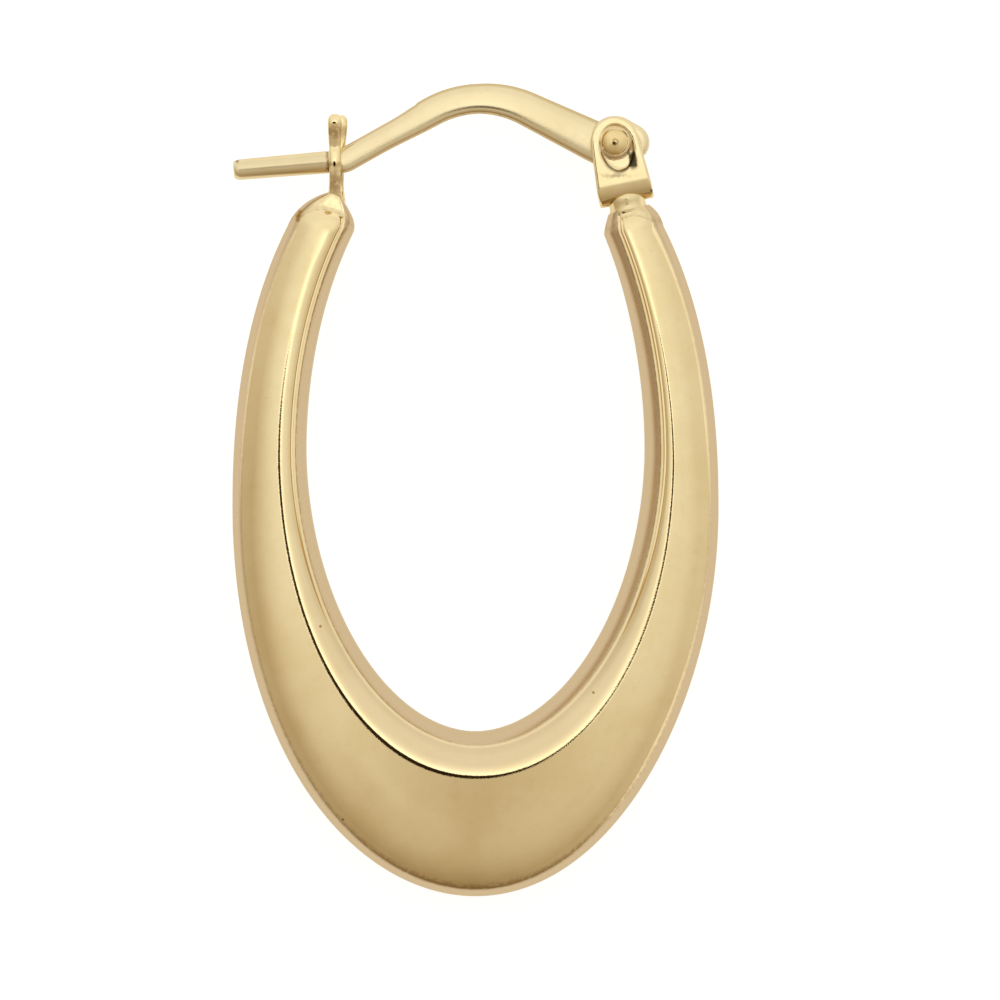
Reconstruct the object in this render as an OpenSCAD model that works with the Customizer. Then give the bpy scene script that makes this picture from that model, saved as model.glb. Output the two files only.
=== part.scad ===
// Creole hoop earring that lies on its back.
// X runs across the hoop, Y from its foot up to the ear wire, and Z from the back up to the front.

/* [Hoop outline] */
// Half the width across the outer edge
outer_half_w = 8.69; // [7.6:0.01:11]
// Drop of the outer edge from its widest line to the foot
outer_drop = 13.91; // [12:0.01:18]
// Rise of the full outer oval above its widest line
outer_rise = 14.69; // [13:0.01:18]
// Fullness of the outer oval above its widest line, where 2 is an ellipse
outer_fullness = 2.2; // [2:0.01:2.5]
// Fullness of the hole's oval all round
hole_fullness = 1.92; // [1.8:0.01:2.1]
// Width of each leg of the band at its widest line
leg_w = 2.65; // [2.2:0.01:3.4]
// Width of the band at the foot
foot_w = 5.9; // [4.4:0.01:7.4]
// Width that the band would have at the tops of the full ovals
crown_w = 0.8; // [0.6:0.01:1.1]
// Height of the hole's widest line above the outer edge's
hole_lift = 2.09; // [1.4:0.01:2.8]
// Shift of the full hole's top to the right
hole_top_shift = 0.33; // [0:0.01:0.4]
// Shift of the foot's two shoulders to the left
foot_skew = 0.09; // [0:0.01:0.2]
// Angle round the ovals, from the foot, at which the band is cut
end_angle = 131; // [128:0.5:135]

/* [Hoop section] */
// Depth of the hoop at the foot, from front to back
foot_depth = 3.3; // [2.8:0.01:4.4]
// Depth of the hoop at its widest line
leg_depth = 2.8; // [2.5:0.01:3.6]
// Depth of the hoop at its two ends
end_depth = 2.15; // [2:0.01:2.6]
// Distance from the hole to the ridge on the legs
rail_leg_w = 0.98; // [0.8:0.01:1.3]
// Distance from the hole to the ridge at the foot
rail_foot_w = 1.61; // [1.2:0.01:2.2]
// Fall of the rail from the ridge to the inner wall, on the legs
rail_leg_fall = 0.28; // [0.18:0.01:0.4]
// Fall of the rail from the ridge to the inner wall, at the foot
rail_foot_fall = 0.42; // [0.2:0.01:0.6]
// Width of the roll that turns down into the inner wall
wall_roll_w = 0.47; // [0.35:0.01:0.6]
// Width of the roll along the outer edge
edge_roll_w = 0.31; // [0.22:0.01:0.45]
// Height of the outer edge's roll, above the seam between the halves
edge_roll_h = 0.68; // [0.5:0.01:0.85]
// Thickness of the stamped sheet
sheet_t = 0.2; // [0.15:0.01:0.3]

/* [Catch] */
// Length of the closed end that carries the catch
catch_end_l = 1.39; // [1:0.01:1.8]
// Lean of that end towards the hole, in degrees
catch_end_lean = 23.3; // [14:0.1:30]
// Width of a prong at its tip, as seen from the front
prong_w = 0.5; // [0.4:0.01:0.62]
// Width of a prong at its foot
prong_foot_w = 0.41; // [0.34:0.01:0.5]
// Thickness of a prong
prong_t = 0.3; // [0.22:0.01:0.4]
// Height of the prongs above the hoop's end
prong_h = 2.87; // [2.6:0.01:3.6]
// Height of the ear wire's centre in the catch, above the hoop's end
catch_wire_h = 1.2; // [1.05:0.01:1.6]
// Clearance all round the ear wire in the catch
catch_gap = 0.05; // [0.03:0.01:0.1]
// How far each prong's tip flares beyond the slot
prong_flare = 0.2; // [0.05:0.01:0.3]
// Distance of the back prong to the right of the front one, at its foot
back_prong_shift = 0.08; // [0:0.01:0.14]
// Lean of the back prong to the right, in degrees
back_prong_lean = 2.4; // [0:0.1:6]

/* [Hinge] */
// Length of the closed end that carries the hinge
hinge_end_l = 0.78; // [0.5:0.01:1.1]
// Lean of that end towards the hole, in degrees
hinge_end_lean = 14; // [4:0.1:24]
// Radius of the neck under the bracket
neck_r = 0.69; // [0.55:0.01:0.78]
// Bare length of the neck
neck_l = 0.24; // [0.12:0.01:0.6]
// Lean of the bracket, in degrees
bracket_lean = 11.6; // [0:0.1:20]
// Radius of the bracket's round top
bracket_r = 0.86; // [0.78:0.01:1]
// Half the bracket's width at its base
bracket_base_half_w = 1.02; // [0.88:0.01:1.2]
// Distance from the rivet down to the bracket's underside
bracket_l = 2.2; // [2.05:0.01:2.8]
// Thickness of the bracket's strip
bracket_t = 0.3; // [0.22:0.01:0.35]
// Radius of the rivet's shank
rivet_r = 0.3; // [0.22:0.01:0.36]
// Radius of the rivet's domed heads
rivet_head_r = 0.45; // [0.42:0.01:0.6]
// Height of the rivet's domed heads
rivet_head_h = 0.24; // [0.15:0.01:0.3]
// Running clearance round the shank in the ear wire's eye
pivot_gap = 0.05; // [0.02:0.01:0.08]
// Clearance of the rivet in the bracket, and under its heads
rivet_gap = 0.02; // [0.01:0.01:0.04]
// Clearance on each side of the eye in the bracket
side_gap = 0.05; // [0.03:0.01:0.1]

/* [Ear wire] */
// Radius of the round post that goes through the ear
post_r = 0.4; // [0.34:0.01:0.45]
// Length of the post beyond the catch
post_l = 3.64; // [2.6:0.01:4.2]
// Length of the post's rounded tip
post_nose = 0.26; // [0.1:0.01:0.34]
// Slope of the post up towards the catch, in degrees
post_slope = 4.9; // [0:0.1:8]
// Length of the turned stretch of the post that the ear sits on
ear_l = 2.5; // [2.2:0.01:2.7]
// Step from that stretch down to the drawn wire that sits in the catch
post_step = 0.01; // [0.005:0.005:0.03]
// Distance from the catch to the first bend
bend_gap = 0.33; // [0.3:0.01:0.7]
// Radius of the first bend, along its middle
bend_r = 0.8; // [0.5:0.01:1]
// Distance from the hinge back to the arch's corner
arch_back = 4.87; // [4:0.01:5.4]
// Height of the arch's corner above the hinge
arch_rise = 2.05; // [1.6:0.01:2.6]
// Radius of the arch's bend, along its middle
arch_r = 3.75; // [2.6:0.01:4.4]
// Drop of the wire's middle line below the hinge's centre
wire_drop = 0.31; // [0.1:0.01:0.45]
// Width of the wire from the bend to the hammered stretch
climb_w = 0.89; // [0.8:0.01:1]
// Width of the hammered wire at the top of the arch
arch_w = 1.08; // [0.9:0.01:1.25]
// Width of the wire beside the hinge
wire_hinge_w = 1.46; // [1.1:0.01:1.5]
// Thickness of the flattened wire
wire_t = 0.78; // [0.66:0.01:0.84]
// Extra thickness of the eye over the wire's
eye_extra_t = 0.02; // [0.01:0.005:0.04]
// Radius of the eye round the rivet
eye_r = 0.97; // [0.86:0.01:1.05]
// Length of the heel beyond the rivet
heel_l = 1.25; // [1.15:0.01:1.32]
// Radius of the heel's end
heel_r = 0.68; // [0.5:0.01:0.72]

/* [Hidden] */
gold = "#e3c98c";
$fn = 48;

// Numbers of rings and of points in the meshed shapes
band_rings = 60;
hollow_rings = 36;
end_rings = 4;
roll_steps = 3;
dome_steps = 6;
rail_steps = 3;
wire_points = 20;
bend_steps = 4;
arch_steps = 10;

// Shares of the slopes that the dome and the rail keep at the ridge
dome_crest_share = 0.3;
rail_crest_share = 0.15;
// Fullness of the dome's curve on the legs and at the foot, and of the rail's
dome_leg_power = 3;
dome_foot_power = 5;
rail_power = 2;
// Power of the blends from the legs to the foot and from the legs to the ends
foot_blend_power = 1.5;
end_blend_power = 2;
// Step round the foot of the catch and round the neck
solder_step = 0.06;
// Roundness of the wire's section, from round at the post to flat at the arch
round_power = 2;
flat_power = 3.6;
// Shares of the way up to the arch's corner at which the hammering starts and ends
hammer_start = 0.42;
hammer_end = 0.62;
// Share of the way from the arch's corner to the hinge at which the wire has its full width
hinge_width_share = 0.85;
// How far the drawn wire runs into the turned stretch of the post
lap = 0.02;

hole_half_w = outer_half_w - leg_w;
hole_drop = outer_drop + hole_lift - foot_w;
hole_rise = outer_rise - hole_lift - crown_w;
half_depth = max(foot_depth, leg_depth) / 2;
eye_t = wire_t + eye_extra_t;
slot_half = eye_t / 2 + side_gap;
bracket_half_t = slot_half + bracket_t;
catch_half_t = post_r + catch_gap;

function signed_power(v, n) = sign(v) * pow(abs(v), 2 / n);
function mix(a, b, share) = a + (b - a) * share;
function mix_rows(a, b, share) = [for (i = [0 : len(a) - 1]) mix(a[i], b[i], share)];
function clamp_share(v) = min(1, max(0, v));
function unit(v) = v / norm(v);
function turned(v, angle) = [v.x * cos(angle) - v.y * sin(angle), v.x * sin(angle) + v.y * cos(angle)];
function lean_up(lean) = [-sin(lean), cos(lean)];

// Points of the two ovals at an angle from the foot, positive to the right
function outer_point(a) =
    let (below = cos(a) > 0, n = below ? 2 : outer_fullness, reach = below ? outer_drop : outer_rise)
    [outer_half_w * signed_power(sin(a), n) - (below ? foot_skew * pow(sin(2 * a), 2) : 0),
        -reach * signed_power(cos(a), n)];
function hole_point(a) =
    let (reach = cos(a) > 0 ? hole_drop : hole_rise)
    [hole_half_w * signed_power(sin(a), hole_fullness) + hole_top_shift * pow(max(0, -cos(a)), 3),
        hole_lift - reach * signed_power(cos(a), hole_fullness)];
function band_middle(a) = (outer_point(a) + hole_point(a)) / 2;

// Rows of the band's section, with the columns
// half depth, ridge from the hole, fall of the rail, power of the dome, height of the edge's roll
foot_row = [foot_depth / 2, rail_foot_w, rail_foot_fall, dome_foot_power, edge_roll_h];
leg_row = [leg_depth / 2, rail_leg_w, rail_leg_fall, dome_leg_power, edge_roll_h];
end_row = [end_depth / 2, rail_leg_w, rail_leg_fall, dome_leg_power, edge_roll_h * end_depth / leg_depth];
function section_row(a) = abs(a) < 90
    ? mix_rows(leg_row, foot_row, pow(cos(a), foot_blend_power))
    : mix_rows(leg_row, end_row, pow(sin((abs(a) - 90) * 90 / (end_angle - 90)), end_blend_power));

// Share of a curve's height that is left at a share of its run from the ridge
function fall_curve(q, crest_share, power) = crest_share * (1 - q) + (1 - crest_share) * (1 - pow(q, power));

// Front half of the band's section from the outer seam to the inner seam, as distance across and height.
// A thinner copy for the hollow has its rolls, its width and its height reduced by the inset.
function front_half(w, row, inset) =
    let (
        full = row[0], scale_z = (full - inset) / full,
        ridge_x = w - row[1], wall_h = full - row[2],
        edge = [for (i = [0 : roll_steps]) let (f = 90 * i / roll_steps)
            [edge_roll_w * (1 - cos(f)), row[4] * sin(f)]],
        dome = [for (i = [1 : dome_steps]) let (q = 1 - i / dome_steps)
            [mix(ridge_x, edge_roll_w, q), mix(row[4], full, fall_curve(q, dome_crest_share, row[3]))]],
        rail = [for (i = [1 : rail_steps]) let (q = i / rail_steps)
            [mix(ridge_x, w - wall_roll_w, q), mix(wall_h, full, fall_curve(q, rail_crest_share, rail_power))]],
        wall = [for (i = [1 : roll_steps]) let (f = 90 * i / roll_steps)
            [w - wall_roll_w * (1 - sin(f)), wall_h * cos(f)]]
    )
    [for (p = concat(edge, dome, rail, wall)) [inset + p.x * (w - 2 * inset) / w, p.y * scale_z]];

// Whole section: the front half, then the back half mirrored from it
function whole_section(w, row, inset) =
    let (front = front_half(w, row, inset), last = len(front) - 1)
    concat(front, [for (i = [last - 1 : -1 : 1]) [front[i].x, -front[i].y]]);

// Ring of the band at an angle
function band_ring(a, inset) =
    let (o = outer_point(a), across = unit(hole_point(a) - o), w = norm(hole_point(a) - o))
    [for (p = whole_section(w, section_row(a), inset)) concat(o + across * p.x, [p.y])];

// Rows of the closed ends, with the columns
// length, lean, half width of the tip, half depth of the tip, fullness of the outer side, of the hole's side
catch_row = [catch_end_l, catch_end_lean, prong_foot_w / 2 + solder_step, catch_half_t + solder_step, 2, 2.2];
hinge_row = [hinge_end_l, hinge_end_lean, neck_r + solder_step, neck_r + solder_step, 2.3, 1.3];

// Middle of a closed end's tip, and the rings that round the band off towards it
function end_tip(side, row) = band_middle(side * end_angle) + row[0] * lean_up(side * row[1]);
function end_ring(side, row, share) =
    let (
        a = side * end_angle, axis = lean_up(side * row[1]),
        start = hole_point(a) - outer_point(a), w = norm(start),
        across = unit(mix(unit(start), turned(axis, side * 90), share)),
        section = section_row(a), tip_x = 2 * row[2] / w,
        outer_size = mix(1, tip_x, pow(share, row[4])), hole_size = mix(1, tip_x, pow(share, row[5])),
        size_z = mix(row[3] / section[0], 1, sqrt(1 - share * share))
    )
    [for (p = whole_section(w, section, 0)) concat(
        band_middle(a) + axis * row[0] * share + across * (p.x - w / 2) * (p.x < w / 2 ? outer_size : hole_size),
        [p.y * size_z])];

// Closed surface through rings that all have the same number of points
module rings_solid(rings) {
    n = len(rings[0]);
    last = len(rings) - 1;
    sides = [for (r = [0 : last - 1]) for (i = [0 : n - 1])
        [r * n + i, r * n + (i + 1) % n, (r + 1) * n + (i + 1) % n, (r + 1) * n + i]];
    first_cap = [for (i = [n - 1 : -1 : 0]) i];
    last_cap = [for (i = [0 : n - 1]) last * n + i];
    polyhedron([for (ring = rings) for (p = ring) p], concat([first_cap], sides, [last_cap]));
}

// Hollow crescent band with its two closed ends
module hoop_shell() {
    step = 2 * end_angle / band_rings;
    hollow_step = 2 * end_angle / hollow_rings;
    shares = [for (i = [1 : end_rings]) sin(90 * i / end_rings)];
    outside = concat(
        [for (i = [end_rings - 1 : -1 : 0]) end_ring(-1, catch_row, shares[i])],
        [for (i = [0 : band_rings]) band_ring(-end_angle + i * step, 0)],
        [for (i = [0 : end_rings - 1]) end_ring(1, hinge_row, shares[i])]
    );
    inside = [for (i = [1 : hollow_rings - 1]) band_ring(-end_angle + i * hollow_step, sheet_t)];
    difference() {
        rings_solid(outside);
        rings_solid(inside);
    }
}

catch_tip = end_tip(-1, catch_row);
wire_in_catch = catch_tip + [0, catch_wire_h];
tip_h = prong_h - catch_wire_h;

// Side outline of one prong, as height above the ear wire's centre and distance from the mid plane
module prong_side() {
    // Rows up the outer side, with the columns
    // share of the tip's height, thickness beyond the slot as a share of the prong's, share of the flare
    outer_rows = [[0, 1, 0], [0.35, 0.75, 0], [0.8, 0.8, 1], [1, 0.45, 1]];
    // Rows down the inner side, with the columns share of the tip's height, share of the flare
    inner_rows = [[0.97, 1], [0.35, 0], [0, 0]];
    foot_h = catch_wire_h + sheet_t;
    polygon(concat(
        [[-foot_h, 0], [-foot_h, catch_half_t - prong_t / 3], [-catch_wire_h / 2, catch_half_t - prong_t / 4]],
        [for (row = outer_rows) [row[0] * tip_h, catch_half_t + row[1] * prong_t + row[2] * prong_flare]],
        [for (row = inner_rows) [row[0] * tip_h, catch_half_t + row[1] * prong_flare]],
        [[0, 0]]
    ));
}

// Prong cut to its width, with a round top as seen from the front
module prong() {
    round_h = tip_h - prong_w / 2;
    foot_h = catch_wire_h + sheet_t;
    intersection() {
        rotate([0, 90, 0]) rotate([0, 0, 90]) linear_extrude(2 * prong_w, center = true) prong_side();
        translate([0, 0, -foot_depth]) linear_extrude(2 * foot_depth) union() {
            translate([0, round_h]) circle(prong_w / 2);
            polygon([
                [-prong_w / 2, round_h],
                [prong_w / 2, round_h],
                [prong_foot_w / 2, -foot_h],
                [-prong_foot_w / 2, -foot_h]
            ]);
        }
    }
}

// Sprung fork on the left end, with the ear wire between its prongs
module catch_fork() {
    translate([wire_in_catch.x, wire_in_catch.y, 0]) difference() {
        union() {
            prong();
            translate([back_prong_shift, -catch_wire_h, 0]) rotate([0, 0, -back_prong_lean])
                translate([0, catch_wire_h, 0]) mirror([0, 0, 1]) prong();
        }
        rotate([0, 90, 0]) cylinder(r = catch_half_t, h = 4 * prong_w, center = true);
    }
}

bracket_axis = lean_up(bracket_lean);
hinge_tip = end_tip(1, hinge_row);
pivot = hinge_tip + bracket_axis * (neck_l + bracket_l);

// Front outline of the bracket, round the rivet and down to its base
module bracket_front() {
    side_angle = asin((bracket_base_half_w - bracket_r) / bracket_l);
    circle(bracket_r);
    polygon([
        [bracket_r * cos(side_angle), bracket_r * sin(side_angle)],
        [-bracket_r * cos(side_angle), bracket_r * sin(side_angle)],
        [-bracket_base_half_w, -bracket_l],
        [bracket_base_half_w, -bracket_l]
    ]);
}

// Side outline of the bracket's bent strip, as height and distance from the mid plane
module bracket_side(half_t, bottom) {
    translate([-bottom + half_t, 0]) circle(half_t);
    translate([-bottom + half_t, -half_t]) square([bottom - half_t + 2 * bracket_r, 2 * half_t]);
}

// Bracket bent to a U, on its neck
module hinge_bracket() {
    neck_top = neck_l + bracket_t / 2;
    translate([pivot.x, pivot.y, 0]) rotate([0, 0, bracket_lean]) difference() {
        intersection() {
            linear_extrude(2 * bracket_half_t, center = true) bracket_front();
            rotate([0, 90, 0]) rotate([0, 0, 90]) linear_extrude(4 * bracket_r, center = true) difference() {
                bracket_side(bracket_half_t, bracket_l);
                bracket_side(slot_half, bracket_l - bracket_t);
            }
        }
        cylinder(r = rivet_r + rivet_gap, h = 4 * bracket_half_t, center = true);
    }
    translate([hinge_tip.x, hinge_tip.y, 0]) rotate([0, 0, bracket_lean]) rotate([90, 0, 0])
        translate([0, 0, -neck_top]) cylinder(r = neck_r, h = neck_top + sheet_t);
}

// Hoop, catch and bracket, soldered into one
module hoop() {
    color(gold) in_place() union() {
        hoop_shell();
        catch_fork();
        hinge_bracket();
    }
}

post_axis = [cos(post_slope), sin(post_slope)];
post_tip = wire_in_catch - post_axis * post_l;
bend = wire_in_catch + post_axis * bend_gap;
arch_corner = pivot + [-arch_back, arch_rise];
wire_foot = pivot - [0, wire_drop];

// Points round a corner between two straight runs
function corner_points(before, corner, after, radius, steps) =
    let (
        u = unit(corner - before), v = unit(after - corner),
        turn = acos(u * v), side = sign(u.x * v.y - u.y * v.x),
        reach = radius * tan(turn / 2), centre = corner - u * reach + turned(u, side * 90) * radius
    )
    [for (i = [0 : steps]) centre - turned(turned(u, side * 90), side * turn * i / steps) * radius];

// Middle line of the drawn wire, from the turned stretch of the post to the hinge
wire_path = concat(
    [post_tip + post_axis * (post_nose + ear_l - lap)],
    corner_points(post_tip, bend, arch_corner, bend_r, bend_steps),
    [mix(bend, arch_corner, hammer_start), mix(bend, arch_corner, mix(hammer_start, hammer_end, 0.5))],
    corner_points(bend, arch_corner, wire_foot, arch_r, arch_steps),
    [wire_foot]
);
function wire_heading(i) =
    i == 0 ? post_axis : unit(wire_path[min(i + 1, len(wire_path) - 1)] - wire_path[i - 1]);

// Half the wire's width at a place along X
function wire_half_w(x) =
    let (
        up = (x - bend.x) / (arch_corner.x - bend.x), down = (x - arch_corner.x) / (pivot.x - arch_corner.x),
        hammered = clamp_share((up - hammer_start) / (hammer_end - hammer_start))
    )
    mix(climb_w, arch_w, hammered) / 2 + (wire_hinge_w - arch_w) / 2 * clamp_share(down / hinge_width_share);

// Ring of the wire, round at the post and flat from the end of the first bend
function wire_ring(i) =
    let (
        p = wire_path[i], across = turned(wire_heading(i), 90), wire_r = post_r - post_step,
        flat = clamp_share((i - 1) / bend_steps), n = mix(round_power, flat_power, flat),
        half_w = mix(wire_r, wire_half_w(p.x), flat), half_t = mix(wire_r, wire_t / 2, flat)
    )
    [for (k = [0 : wire_points - 1]) let (f = 360 * k / wire_points)
        concat(p + across * half_w * signed_power(cos(f), n), [-half_t * signed_power(sin(f), n)])];

// Outline of the eye and its heel
module eye_front() {
    back = heel_l - heel_r;
    tangent = acos((eye_r - heel_r) / back);
    circle(eye_r);
    translate([back, 0]) circle(heel_r);
    polygon([
        [eye_r * cos(tangent), eye_r * sin(tangent)],
        [eye_r * cos(tangent), -eye_r * sin(tangent)],
        [back + heel_r * cos(tangent), -heel_r * sin(tangent)],
        [back + heel_r * cos(tangent), heel_r * sin(tangent)]
    ]);
}

// Turned stretch of the post with its tip
module post() {
    translate([post_tip.x, post_tip.y, 0]) rotate([0, 0, post_slope]) rotate([0, 90, 0]) {
        cylinder(r1 = post_r / 2, r2 = post_r, h = post_nose);
        translate([0, 0, post_nose]) cylinder(r = post_r, h = ear_l);
    }
}

// Arched wire with its post and its eye
module ear_wire() {
    color(gold) in_place() difference() {
        union() {
            post();
            rings_solid([for (i = [0 : len(wire_path) - 1]) wire_ring(i)]);
            translate([pivot.x, pivot.y, 0]) linear_extrude(eye_t, center = true) eye_front();
        }
        translate([pivot.x, pivot.y, 0]) cylinder(r = rivet_r + pivot_gap, h = 2 * eye_t, center = true);
    }
}

// Half outline of the rivet: the shank and one domed head
module rivet_half() {
    seat = bracket_half_t + rivet_gap;
    dome_r = (rivet_head_r * rivet_head_r + rivet_head_h * rivet_head_h) / (2 * rivet_head_h);
    square([rivet_r, seat + rivet_head_h / 2]);
    intersection() {
        translate([0, seat + rivet_head_h - dome_r]) circle(dome_r);
        translate([0, seat]) square([2 * rivet_head_r, rivet_head_h]);
    }
}

// Rivet with a domed head in front and behind
module hinge_rivet() {
    color(gold) in_place() translate([pivot.x, pivot.y, 0]) rotate_extrude() {
        rivet_half();
        mirror([0, 1]) rivet_half();
    }
}

// Puts the hoop's own frame in place: middle of its outline at the origin, back on the ground
arch_top = max([for (i = [0 : len(wire_path) - 1]) max([for (p = wire_ring(i)) p.y])]);
module in_place() {
    translate([0, (outer_drop - arch_top) / 2, half_depth]) children();
}

hoop();
ear_wire();
hinge_rivet();
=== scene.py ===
import math

import bpy
import numpy as np
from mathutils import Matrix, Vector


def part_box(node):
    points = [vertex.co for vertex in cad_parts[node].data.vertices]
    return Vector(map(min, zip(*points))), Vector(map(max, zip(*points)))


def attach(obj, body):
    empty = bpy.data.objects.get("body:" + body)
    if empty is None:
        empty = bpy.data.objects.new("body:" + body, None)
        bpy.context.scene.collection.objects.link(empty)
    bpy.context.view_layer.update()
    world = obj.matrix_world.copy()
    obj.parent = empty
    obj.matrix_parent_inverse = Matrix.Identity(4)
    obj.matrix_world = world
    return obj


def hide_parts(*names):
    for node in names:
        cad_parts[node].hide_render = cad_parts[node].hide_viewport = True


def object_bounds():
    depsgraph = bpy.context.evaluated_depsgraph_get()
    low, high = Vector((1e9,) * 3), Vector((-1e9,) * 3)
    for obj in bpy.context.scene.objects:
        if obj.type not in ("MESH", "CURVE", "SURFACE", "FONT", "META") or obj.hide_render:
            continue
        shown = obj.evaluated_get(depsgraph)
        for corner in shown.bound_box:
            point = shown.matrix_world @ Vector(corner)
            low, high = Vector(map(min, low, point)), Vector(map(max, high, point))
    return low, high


# Creole hoop earring lying on its back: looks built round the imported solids.
# Shapes are worked out in millimetres in the hoop's own frame, then put in place in metres.

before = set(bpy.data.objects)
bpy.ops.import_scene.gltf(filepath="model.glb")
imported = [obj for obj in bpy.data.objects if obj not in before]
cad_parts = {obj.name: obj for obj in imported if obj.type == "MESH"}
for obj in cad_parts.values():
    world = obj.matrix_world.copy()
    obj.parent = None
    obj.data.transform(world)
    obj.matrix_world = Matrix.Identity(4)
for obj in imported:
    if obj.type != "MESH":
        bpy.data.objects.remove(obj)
cadLow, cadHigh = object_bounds()
metresPerMm = 0.001
tiny = 1e-6
print("frame loaded:", sorted(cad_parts))


# Small maths helpers, all on whole arrays

def mix(a, b, share):
    # a at share 0, b at share 1
    return a + (b - a) * share


def share01(v):
    # v kept between 0 and 1
    return np.clip(v, 0, 1)


def smoothShare(low, high, v):
    # 0 below low, 1 above high, with a smooth cubic between them
    t = share01((v - low) / (high - low))
    return t * t * (3 - 2 * t)


def bump01(v, centre, halfWidth):
    # bell curve that is 1 at the centre
    return np.exp(-((v - centre) / halfWidth) ** 2)


def signedPower(v, fullness):
    # keeps the sign, and raises the size to 2 / fullness, for ovals fuller than an ellipse
    return np.sign(v) * np.abs(v) ** (2 / fullness)


def unit(v):
    # vectors divided by their lengths
    return v / np.linalg.norm(v, axis=-1, keepdims=True)


def leanUp(degrees):
    # direction up the picture, leaning to the left by that many degrees
    return np.array([-math.sin(math.radians(degrees)), math.cos(math.radians(degrees))])


def turned(v, degrees):
    # a flat vector turned to the left
    c, s = math.cos(math.radians(degrees)), math.sin(math.radians(degrees))
    return np.array([v[0] * c - v[1] * s, v[0] * s + v[1] * c])


def throughRows(rows, count):
    # smooth curve through a table's rows: cubic with slopes from the rows beside each one
    table = np.array(rows, float)
    padded = np.vstack([2 * table[0] - table[1], table, 2 * table[-1] - table[-2]])
    place = np.linspace(0, len(table) - 1, count)
    i = np.minimum(place.astype(int), len(table) - 2)
    t = (place - i)[:, None]
    before, here, after, beyond = (padded[i + k] for k in range(4))
    return 0.5 * (2 * here + (after - before) * t + (2 * before - 5 * here + 4 * after - beyond) * t ** 2
                  + (3 * here - before - 3 * after + beyond) * t ** 3)


# The hoop's outline and section, with the same named sizes as the solid

hoopShape = dict(
    outerHalfW=8.683,  # half the width across the outer edge
    outerDrop=13.91,  # widest line down to the foot
    outerRise=14.69,
    outerFullness=2.2,
    holeFullness=1.92,
    legW=2.65,
    footW=5.9,
    crownW=0.8,
    holeLift=2.09,
    holeTopShift=0.33,
    footSkew=0.09,
    endAngle=131.0,
    rings=340,
)

# One row for each place round the band, with the columns half depth, ridge from the hole, fall of the rail,
# power of the dome, height of the edge's roll, ledge from the hole, half width of the crest, power of the rail
footRow = np.array([1.65, 1.625, 0.42, 4.0, 0.68, 0.60, 0.09, 1.6])
legRow = np.array([1.40, 0.97, 0.28, 1.0, 0.68, 0.54, 0.06, 2.4])
endRow = np.array([1.075, 0.87, 0.26, 1.0, 0.522, 0.50, 0.045, 2.4])

sectionShape = dict(
    edgeRollW=0.31,
    domeCrestSlope=0.105,
    railCrestSlope=0.05,
    crestSpan=0.11,  # half width of the stretch over the ridge where the points lie close
    domeCrowding=1.5,  # power that crowds the dome's points towards the ridge
    railCrowding=0.9,
    ledgeFall=0.03,  # part of the rail's fall that is left to the ledge
    filletW=0.02,
    ledgeW=0.06,
    ledgeSlope=0.14,
    turnW=0.03,
    innerSlope=1.2,
    innerFall=0.05,  # fall over the ledge, as reckoned for the inner roll
    innerSteepest=0.46,
    seamDepth=0.012,
    seamHalfW=0.03,
    footPower=1.4,  # how fast a leg turns into the foot, and into the ends
    endPower=1.5,
    ridgeSkew=0.13,  # the ridge lies further from the hole on the right of the foot
    ridgeSkewTurns=1.6,
    ledgeSkew=(0.055, 0.14),  # the ledge lies nearer the hole on the left and further from it on the right
    crestSkew=0.4,  # the crest is sharper on the right
    softCrest=0.5,  # half width of the crest where the ridge dies out at the ends
    leftFade=(124.0, 130.0),
    rightFade=(112.0, 126.0),
)
rollSteps, domeSteps, crestSteps, railSteps, innerSteps = 12, 26, 13, 20, 15

# Where the section gets painted shade, grain, rougher gloss and a dark seam: places and widths in mm, and
# strengths
sectionMarks = dict(
    creaseAt=-0.01,
    creaseHalfW=0.03,
    creaseTone=(0.9, 0.25),  # painted shade in the crease on the legs and at the foot
    creaseFullAt=0.6,  # distance of the ridge from the hole at which the first tone holds
    shoulderHalfW=0.06,
    shoulderTone=(0.15, 0.75),  # painted shade along the outer edge on the legs and at the foot
    seamHalfW=0.05,
    seamTone=0.5,
    rollEnds=(0.5, 0.6),  # share of a roll's painted shade and roughness on its last point, at the outer edge and at the hole
    ridgeAt=0.02,
    ridgeHalfW=0.10,
    ledgeAt=-0.05,
    ledgeHalfW=0.06,
    ledgeTone=0.8,
    ridgeFade=(122.0, 105.0),
    railFadeW=0.35,
    # painted shade on the rail's steep side, on the legs and at the foot
    railTone=(0.1, 0.55),
    footPower=0.7,
)


def outerEdge(angle):
    # oval of the outer edge, an ellipse below its widest line and a fuller oval above it
    s, c = np.sin(angle), np.cos(angle)
    below = c > 0
    fullness = np.where(below, 2.0, hoopShape["outerFullness"])
    reach = np.where(below, hoopShape["outerDrop"], hoopShape["outerRise"])
    skew = np.where(below, hoopShape["footSkew"] * np.sin(2 * angle) ** 2, 0)
    x = hoopShape["outerHalfW"] * signedPower(s, fullness) - skew
    return np.stack([x, -reach * signedPower(c, fullness)], -1)


def holeEdge(angle):
    # oval of the hole, shifted up, and to the right near its top
    s, c = np.sin(angle), np.cos(angle)
    halfW = hoopShape["outerHalfW"] - hoopShape["legW"]
    drop = hoopShape["outerDrop"] + hoopShape["holeLift"] - hoopShape["footW"]
    rise = hoopShape["outerRise"] - hoopShape["holeLift"] - hoopShape["crownW"]
    reach = np.where(c > 0, drop, rise)
    shift = hoopShape["holeTopShift"] * np.maximum(0, -c) ** 3
    x = halfW * signedPower(s, hoopShape["holeFullness"]) + shift
    return np.stack([x, hoopShape["holeLift"] - reach * signedPower(c, hoopShape["holeFullness"])], -1)


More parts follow.
